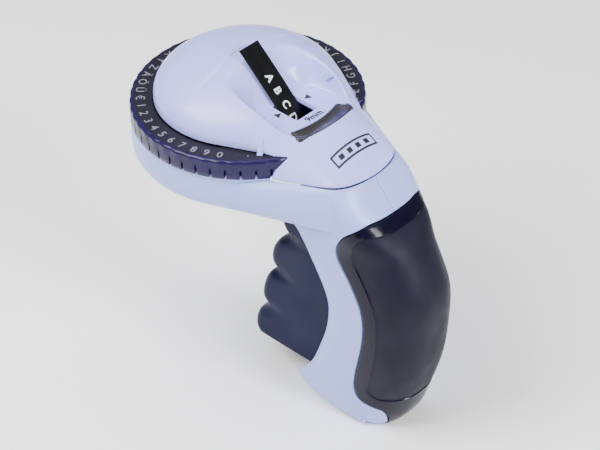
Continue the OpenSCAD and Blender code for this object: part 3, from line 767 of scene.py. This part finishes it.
def cover_half_w(x):
    """Half width of the cover at x."""
    round_part = np.sqrt(np.maximum(0.01, dome_r ** 2 - x ** 2))
    c, s = math.cos(math.radians(65)), math.sin(math.radians(65))
    turn = math.radians(seam_angle)
    straight = (seam_reach - x * math.cos(turn)) / math.sin(turn)
    flank = mix((dome_r - x * c) / s, straight, smooth(x, 29, 35))
    return np.where(x < dome_r * c, round_part, flank)


def cover_skin(x, y):
    """Height above the ring of the cover without its scoop."""
    foot = mix(1, -7.4, smooth(x, 28, 36)) + seam_rise(x)
    bulge = 1 + (dome_h - 1) * np.maximum(0, 1 - (x / dome_r) ** 2) ** 0.45
    ridge = np.where(x < 0, bulge, curve(x, ridge_line))
    fullness = mix(0.45, 0.7, smooth(x, 20, 38))
    return foot + (ridge - foot) * np.maximum(0, 1 - (y / cover_half_w(x)) ** 2) ** fullness


def soft_min(a, b, k):
    """The lower of two heights, blended over k."""
    h = np.maximum(k - np.abs(a - b), 0) / k
    return np.minimum(a, b) - h * h * k / 4


def cover_z(x, y):
    """Height of the cover's top with its scoop."""
    r = np.abs(x - scoop_middle) / scoop_half_l
    w = scoop_half_w * np.maximum(1e-4, 1 - np.minimum(r, 1) ** 2.4) ** (1 / 2.4)
    base = cover_skin(x, y)
    low = curve(x, scoop_line)
    flat = np.minimum(curve(x, scoop_floor), 0.86 * w)
    side = np.maximum(0, np.abs(y) - flat) / (w - flat)
    rise = np.where(side < 1, side ** 1.3, 1 + 1.3 * (side - 1))
    dish = low + rise * (cover_skin(x, w) - low)
    return ring_z + np.where(r < 1, soft_min(base, dish, 0.9), base)


def cover_foot_z(a, x):
    """Height of the cover's lower edge, over the ring or on the seam with the housings."""
    return np.where(np.abs(a) > wall_angle, ring_z + ring_clear, split_z + gap + seam_rise(x))


def over_ring(p):
    """Negative where the cover leaves room for the letter ring."""
    x, y = p[:, 0], p[:, 1]
    low = cover_z(x, y) - (ring_z + ring_clear)
    beside = np.degrees(np.arctan2(np.abs(y), x)) < wall_angle + 0.01
    outside = np.maximum(np.hypot(x, y) - (ring_r + ring_clear), low)
    return np.where(beside & (np.abs(y) > 12), outside, 1)


def window(p):
    """Negative inside the window's curved opening."""
    r, a = np.hypot(p[:, 0], p[:, 1]), np.arctan2(p[:, 1], p[:, 0])
    middle = (window_r[0] + window_r[1]) / 2
    reach = np.radians(window_angle) * middle
    opening = rounded_box((0, 0), ((window_r[1] - window_r[0]) / 2, reach), 1.6)
    return opening(np.stack([r - middle, a * middle], 1))


def cover_lift(p):
    """Puts points on the cover's top."""
    return np.column_stack([p[:, :2], cover_z(p[:, 0], p[:, 1])])


def cover_angles():
    """Angles all round, closer together where the cover leaves the ring."""
    half = np.concatenate([np.linspace(0, 26, 40), np.linspace(26, wall_angle, 43)[1:],
                           [wall_angle + 0.02], np.linspace(wall_angle, 45, 26)[1:],
                           np.linspace(45, 180, 117)[1:]])
    return np.concatenate([-half[1:-1][::-1], half])


def cover():
    """Cover shell: rows from the middle outwards, then down to the foot, with its openings cut."""
    angles = cover_angles()
    a, edge_r = np.radians(angles), cover_edge_r(angles)
    from_edge = (0.088, 0.076, 0.064, 0.053, 0.043, 0.034, 0.026, 0.019, 0.013, 0.008, 0.004,
                 0.0015, 0.0003)
    lowest = np.where(np.abs(angles) > wall_angle, ring_z + ring_clear + 0.02, 0)
    rows = []
    for t in np.concatenate([np.linspace(0, 0.9, 84), 1 - np.array(from_edge)]):
        x, y = t * edge_r * np.cos(a), t * edge_r * np.sin(a)
        rows.append(np.column_stack([x, y, np.maximum(cover_z(x, y), lowest)]))
    last = rows[-1]
    x = edge_r * np.cos(a)
    foot = np.column_stack([x, edge_r * np.sin(a), cover_foot_z(angles, x)])
    for t in (0.25, 0.5, 0.75, 1.0):
        rows.append(mix(last, foot, t))
    faces = grid(len(rows), len(angles), wrap=True, flip=True)
    points, faces = weld(np.concatenate(rows), faces)
    slot = rounded_box((sum(slot_x) / 2, 0), ((slot_x[1] - slot_x[0]) / 2, slot_half_w), 0.8)
    for opening in (over_ring, slot, window):
        points, faces = cut(points, faces, [0, 1], opening, cover_lift)
    parts = [walled(points, faces, 1.9, 0.35)]
    for x, y in cover_screws:
        post = lathe([(1.3, 3.2), (2.7, 3), (3, 3.3), (3, 33), (1.3, 33)], 40)
        parts.append(moved(post, Matrix.Translation((x, y, 0))))
    return join(*parts)


make("cover_shell", cover(), cover_finish, "root", ("top_cover",))


def lens():
    """Window glass, just below the cover's surface."""
    rows = []
    spread = np.linspace(-1, 1, 41)
    for r in np.linspace(window_r[0] + gap, window_r[1] - gap, 13):
        a = np.radians(spread * (window_angle - 0.5))
        x, y = r * np.cos(a), r * np.sin(a)
        rows.append(np.column_stack([x, y, cover_z(x, y) - 0.15]))
    faces = grid(len(rows), len(spread), flip=True)
    return walled(*weld(np.concatenate(rows), faces), 1.2, 0.25)


make("window_glass", lens(), lens_finish, "root", ("window_lens",))


ink_h = 0.1


def on_cover(part, place, turn):
    """Lays flat letters on the cover round an [x, y] place, with their base turned by degrees."""
    points, faces = part
    c, s = math.cos(math.radians(turn)), math.sin(math.radians(turn))
    x = place[0] + points[:, 0] * c - points[:, 1] * s
    y = place[1] + points[:, 0] * s + points[:, 1] * c
    height = points[:, 2] - points[:, 2].min() - 0.02
    return np.column_stack([x, y, cover_z(x, y) + height]), faces


def triangle(size):
    """Small pointer that shows where the next letter comes."""
    corner_x, base_y = size * 0.6, -size * 0.45
    return slab([(-corner_x, base_y), (corner_x, base_y), (0, size * 0.55)], 0, ink_h, 0.03)


def label_sign(place):
    """Plain strip with four blank squares, as a sign for a label."""
    half_l, half_w, line_w, pieces = 9.6, 2.1, 0.6, 24
    ends = np.array([(-half_l, -half_w), (half_l, -half_w), (half_l, half_w), (-half_l, half_w)])
    parts = []
    for start, end in zip(ends, np.roll(ends, -1, 0)):
        along = end - start
        across = np.array([-along[1], along[0]]) / np.hypot(*along) * line_w
        for k in range(pieces):
            a, b = start + along * k / pieces, start + along * (k + 1) / pieces
            parts.append(slab([a, b, b + across, a + across], 0, ink_h, 0.0))
    for x in (-6, -2, 2, 6):
        square = [(x - 1, -0.8), (x + 1, -0.8), (x + 1, 0.8), (x - 1, 0.8)]
        parts.append(slab(square, 0, ink_h, 0.02))
    return [on_cover(part, place, 90) for part in parts]


marks = [on_cover(triangle(2.4), (21.8, -7.1), 0), on_cover(triangle(2.4), (21.8, 7.1), 180),
         on_cover(lettering("9mm", 3.7, ink_h, 0.1), (31.0, 0.6), 90), *label_sign((50.2, -0.2))]
make("cover_print", join(*marks), ink_finish, "root")


# ---- Tape door and its pad ----
pad_top, pad_bottom, pad_share = 2.9, -67.8, 0.86


def back_surface(zs, shares):
    """The handle's back between shares of the door's angle, before its bottom is sloped."""
    rows = [np.column_stack([*back_point(shares * float(door_angle(z)), z), np.full(len(shares), z)])
            for z in zs]
    return np.concatenate(rows), grid(len(rows), len(shares), flip=True)


def door_shell():
    """The door's wall, with a recess 1 mm deep for the pad inside its border."""
    zs = np.concatenate([np.linspace(6, -66, 88), np.linspace(-66.5, -80.5, 30)])
    points, faces = back_surface(zs, np.linspace(-1, 1, 81))
    points, faces = weld(sloped(points), faces)
    recess = smooth(pad_field(points), 0.02, 0.1)[:, None]
    return walled(points - normals_of(points, faces) * recess, faces, 2.3, 0.7, 4)


def pad_field(points):
    """Zero on the pad's outline, growing inwards to one."""
    z = points[:, 2]
    end = door_angle(z)
    middle = curve(z, middle_line)
    depth = curve(z, back_line) - middle
    t = np.degrees(np.arctan2((np.abs(points[:, 1]) / curve(z, width_line)) ** (grip_power / 2),
                              (np.maximum(points[:, 0] - middle, 0) / depth) ** (grip_power / 2)))
    side = (pad_share - t / np.maximum(end, 1)) * 22
    top, bottom = pad_top - z, z - pad_bottom
    r = 5.0
    d = np.minimum(np.minimum(side, top), bottom)
    # Round the corners
    for other in (top, bottom):
        a, b = r - np.minimum(side, r), r - np.minimum(other, r)
        d = np.minimum(d, r - np.hypot(a, b))
    return d / 10


def pad_shell():
    """Soft pad with a low crown, trimmed to its rounded outline."""
    zs = np.linspace(pad_top - gap, pad_bottom + gap, 110)
    reach = pad_share - 0.015
    points, faces = weld(*back_surface(zs, np.linspace(-reach, reach, 75)))
    centres = np.array([points[f].mean(0) for f in faces])
    points, faces = only(points, [f for f, d in zip(faces, pad_field(centres)) if d > 0.03])
    points = relaxed(points, faces, 6)
    n = normals_of(points, faces)
    crown = 0.25 * smooth(pad_field(points), 0.02, 0.5)
    return walled(sloped(points - n * (0.25 - crown[:, None])), faces, 0.9, 0.5, 4)


def relaxed(points, faces, rounds):
    """Evens out the steps along the border, each point drawn between its two neighbours."""
    _, ahead, behind, ids = border_of(faces)
    points = points.copy()
    for _ in range(rounds):
        target = (points[[ahead[i] for i in ids]] + points[[behind[i] for i in ids]]) / 2
        points[ids] = mix(points[ids], target, 0.5)
    return points


def door():
    """Door with its hinge knuckle and the web between them."""
    knuckle = tube_between(hinge_pivot, 1.15, 2.3, -5, 5)
    web = slab(np.array(hinge_pivot) + [(0.4, -2.1), (4.6, 0.6), (6.4, 4.2), (5.2, 6.2), (1.2, 2.0)],
               -5, 5, 0.3)
    stand = Matrix(((1, 0, 0, 0), (0, 0, -1, 0), (0, 1, 0, 0), (0, 0, 0, 1)))
    return join(door_shell(), knuckle, moved(web, stand))


make("door_shell", door(), door_finish, "door", ("tape_door",))
make("door_pad", pad_shell(), pad_finish, "door", ("grip_pad",))


# ---- Trigger ----
def trigger():
    """Trigger shell with finger lobes, its hubs and the rod that lifts the lever."""
    zs = np.linspace(1, trigger_low[2], 150)
    side_count, round_count = 30, 26
    rows = []
    for z in zs:
        front, back = float(curve(z, trigger_front)), float(curve(z, trigger_back))
        hull = float(curve(z, trigger_hull))
        groove = max(0, front - hull)
        r = min(3.8, (back - front) * 0.5)
        turn = np.radians(np.linspace(0, 90, round_count))
        side_x = np.linspace(back, front + r, side_count + 1)[:-1]
        corner_x = front + r - r * np.sin(turn)
        corner_y = trigger_half_w - r * (1 - np.cos(turn))
        x = np.concatenate([side_x, corner_x])
        y = np.concatenate([np.full(len(side_x), trigger_half_w), corner_y])
        y = y - 0.45 * groove * np.exp(-((x - front) / 6.5) ** 2)
        left = np.column_stack([x, -y, np.full(len(x), z)])
        front_y = np.linspace(-y[-1], y[-1], 14)[1:-1]
        middle = np.column_stack([np.full(len(front_y), front), front_y,
                                  np.full(len(front_y), z)])
        right = np.column_stack([x[::-1], y[::-1], np.full(len(x), z)])
        rows.append(np.concatenate([left, middle, right]))
    shape = walled(*weld(np.concatenate(rows), grid(len(rows), len(rows[0]))), 2.0, 0.6, 4)
    hubs = [tube_between(trigger_pivot, 1.55, 3.2, low, low + 3) for low in (-10.7, 7.7)]
    rod = lathe([(0.01, 0), (1.2, 0), (1.5, 0.3), (1.5, 22.7), (1.2, 23), (0.01, 23)], 32)
    return join(shape, *hubs, moved(rod, Matrix.Translation((44.6, -11.5, -0.7)) @ lying))


make("trigger_shell", trigger(), trigger_finish, "trigger", ("trigger",))


# ---- Letter ring ----
characters = "ABCDEFGHIJKLMNOPQRSTUVWXYZÄÖÜ€1234567890 .,-&/!?+"
pitch = 360 / len(characters)
first_angle = 300.0 - characters.index("0") * pitch
letter_r, face_r = 37.0, 39.4


def letter_ring():
    """Ring round the dome, with scallops on its top edge and a groove at each letter."""
    low, top = ring_low[2] - 0.3, ring_z
    profile = [(dome_r + 0.2, low), (dome_r + 0.2, top - 0.2), (dome_r + 0.4, top), (34.5, top),
               (letter_r, top), (face_r, top)]
    bend = np.radians(np.linspace(90, 0, 7))
    profile += [(ring_r - 1.1 + 1.1 * math.cos(a), top - 1.1 + 1.1 * math.sin(a)) for a in bend[1:]]
    profile += [(ring_r, z) for z in (top - 2.2, top - 3.4, top - 4.2, low + 4.1, low + 3.7,
                                      low + 2.4, low + 1.0)]
    profile += [(ring_r - 0.4, low + 0.3), (ring_r - 0.9, low)]
    per_letter = 24
    segments = len(characters) * per_letter
    phase = (np.arange(segments) % per_letter) / per_letter
    scallop = 0.24 * (0.5 + 0.5 * np.cos(2 * math.pi * phase))
    groove = 0.85 * np.exp(-(np.minimum(phase, 1 - phase) / 0.055) ** 4)
    a = np.radians(first_angle + pitch * 0.5) + 2 * math.pi * np.arange(segments) / segments
    rows = []
    for r, z in profile:
        outer = smooth(r, face_r, face_r + 1)
        top_part = smooth(z, top - 4.4, top - 1.5)
        lower_part = 1 - smooth(z, low + 3.7, low + 4.1)
        cut_in = outer * (scallop * top_part + groove * lower_part * (z < low + 4.2))
        rows.append(np.column_stack([(r - cut_in) * np.cos(a), (r - cut_in) * np.sin(a),
                                     np.full(segments, z)]))
    rows.append(rows[0])
    return weld(np.concatenate(rows), grid(len(rows), segments, wrap=True, flip=True))


ring = make("letter_ring", letter_ring(), ring_finish, "wheel", ("character_ring",))
ring.data.materials.append(ring_top_finish)
for face in ring.data.polygons:
    middle = face.center / MM
    if middle.z > ring_z - 0.1 and math.hypot(middle.x, middle.y) < face_r + 0.2:
        face.material_index = 1

glyphs = []
for k, letter in enumerate(characters):
    if letter == " ":
        continue
    turn = Matrix.Rotation(math.radians(first_angle + pitch * k), 4, "Z")
    place = Matrix.Translation((letter_r, 0, ring_z + 0.02)) @ Matrix.Rotation(math.radians(90), 4, "Z")
    glyphs.append(moved(lettering(letter, 4.3, 0.08), turn @ place))
make("ring_characters", join(*glyphs), print_finish, "wheel")


# ---- Tape ----
route_t = np.linspace(0, len(tape_route) - 1, 260)
route = np.stack([curve(route_t, list(enumerate(axis))) for axis in zip(*tape_route)], 1)
along = np.concatenate([[0], np.cumsum(np.linalg.norm(np.diff(route, axis=0), axis=1))])


def tape_point(s, y, up):
    """Point on the tape at distance s from its free end, y across and up above it."""
    t = along[-1] - np.asarray(s, float)
    x, z = np.interp(t, along, route[:, 0]), np.interp(t, along, route[:, 1])
    ahead = np.stack([np.interp(t + 0.3, along, route[:, k]) - np.interp(t - 0.3, along, route[:, k])
                      for k in (0, 1)], -1)
    ahead /= np.linalg.norm(ahead, axis=-1, keepdims=True)
    return np.column_stack([x - ahead[..., 1] * up, np.broadcast_to(y, x.shape),
                            z - ahead[..., 0] * up])


def tape():
    """Ribbon with rounded edges."""
    stations = np.linspace(0, along[-1], 300)
    across = np.linspace(-tape_half_w, tape_half_w, 15)
    rows = [tape_point(np.full(len(across), s), across, -0.12) for s in stations]
    faces = grid(len(rows), len(across), flip=True)
    return walled(*weld(np.concatenate(rows), faces), 0.24, 0.06, 2)


make("tape_ribbon", tape(), tape_finish, "root", ("tape_strip",))

embossed = []
for k, letter in enumerate("ABCD"):
    points, faces = lettering(letter, 4.0, 0.32, 0.0, 0.06)
    s = 13.3 + 5.2 * k
    placed = tape_point(s + points[:, 0], points[:, 1], -(0.1 + points[:, 2]))
    embossed.append((placed, faces))
make("tape_letters", join(*embossed), letter_finish, "root")

# ---- CAD pieces that keep their shape ----
kept = {
    "door_hinge_pin": steel_finish, "door_latch": door_finish, "trigger_pin": steel_finish,
    "trigger_spring": steel_finish, "die_wheel": die_finish, "wheel_collar": frame_finish,
    "detent_spring": steel_finish, "press_lever": steel_finish, "lever_pin": steel_finish,
    "platen": rubber_finish, "cutter_blade": steel_finish, "anvil": steel_finish,
    "feed_roller": rubber_finish, "feed_shaft": steel_finish, "ratchet_wheel": spool_finish,
    "feed_pawl": steel_finish, "pinch_roller": rubber_finish, "pinch_shaft": steel_finish,
    "tape_guide": frame_finish, "tape_roll": tape_finish, "tape_spool": spool_finish,
    "spool_cradle": frame_finish, "handle_screws": steel_finish, "cover_screws": steel_finish,
}
for name, finish in kept.items():
    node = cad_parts[name]
    if not node.material_slots:
        node.data.materials.append(finish)
    for slot in node.material_slots:
        slot.material = finish

# ---- Floor, light and camera ----
floor_z = cad_box[0][2] - 0.2 * MM
floor_half = 3.0
floor_corners = [(x * floor_half, y * floor_half, floor_z)
                 for x, y in ((-1, -1), (1, -1), (1, 1), (-1, 1))]
floor = bpy.data.meshes.new("studio_floor")
floor.from_pydata(floor_corners, [], [(0, 1, 2, 3)])
floor.materials.append(floor_finish)
floor_piece = bpy.data.objects.new("studio_floor", floor)
scene.collection.objects.link(floor_piece)

world = bpy.data.worlds.new("studio")
scene.world = world
world.use_nodes = True
world.node_tree.nodes["Background"].inputs["Color"].default_value = (1, 1, 1, 1)
world.node_tree.nodes["Background"].inputs["Strength"].default_value = 0.4


def softbox(name, azimuth, elevation, distance, width, height, power):
    """Area light aimed at the middle of the object. Azimuth from +X, in degrees."""
    a, e = math.radians(azimuth), math.radians(elevation)
    middle = Vector((0.03, 0, -0.02))
    way = Vector((math.cos(a) * math.cos(e), math.sin(a) * math.cos(e), math.sin(e)))
    data = bpy.data.lights.new(name, "AREA")
    data.shape = "RECTANGLE"
    data.size, data.size_y = width, height
    data.energy = power
    lamp = bpy.data.objects.new(name, data)
    lamp.location = middle + way * distance
    lamp.rotation_euler = (-way).to_track_quat("-Z", "Y").to_euler()
    scene.collection.objects.link(lamp)


softbox("key_light", -118, 52, 0.6, 0.4, 0.4, 7)
softbox("back_light", 2, 27, 0.9, 0.22, 0.5, 12)
softbox("top_light", 150, 75, 1.1, 0.9, 0.5, 6)

azimuth, elevation, roll = math.radians(46), math.radians(35), math.radians(2.55)
back = Vector((math.sin(azimuth) * math.cos(elevation), -math.cos(azimuth) * math.cos(elevation),
               math.sin(elevation)))
level = Vector((math.cos(azimuth), math.sin(azimuth), 0))
upright = back.cross(level)
right = level * math.cos(roll) - upright * math.sin(roll)
up = level * math.sin(roll) + upright * math.cos(roll)
eye = (Vector((0, 0, ring_z)) + back * 900) * MM
# Aimed a little right of and below the wheel's middle, as the object is framed
aim_right, aim_down = 0.0202, 0.051
z_axis = (back - right * aim_right + up * aim_down).normalized()
x_axis = (right - z_axis * right.dot(z_axis)).normalized()
y_axis = z_axis.cross(x_axis)
axes = Matrix((x_axis, y_axis, z_axis)).transposed().to_4x4()
camera_data = bpy.data.cameras.new("camera")
camera_data.lens = 156.06
camera_data.sensor_width = 36
camera_data.clip_end = 20
camera = bpy.data.objects.new("camera", camera_data)
camera.matrix_world = Matrix.Translation(eye) @ axes
scene.collection.objects.link(camera)
scene.camera = camera
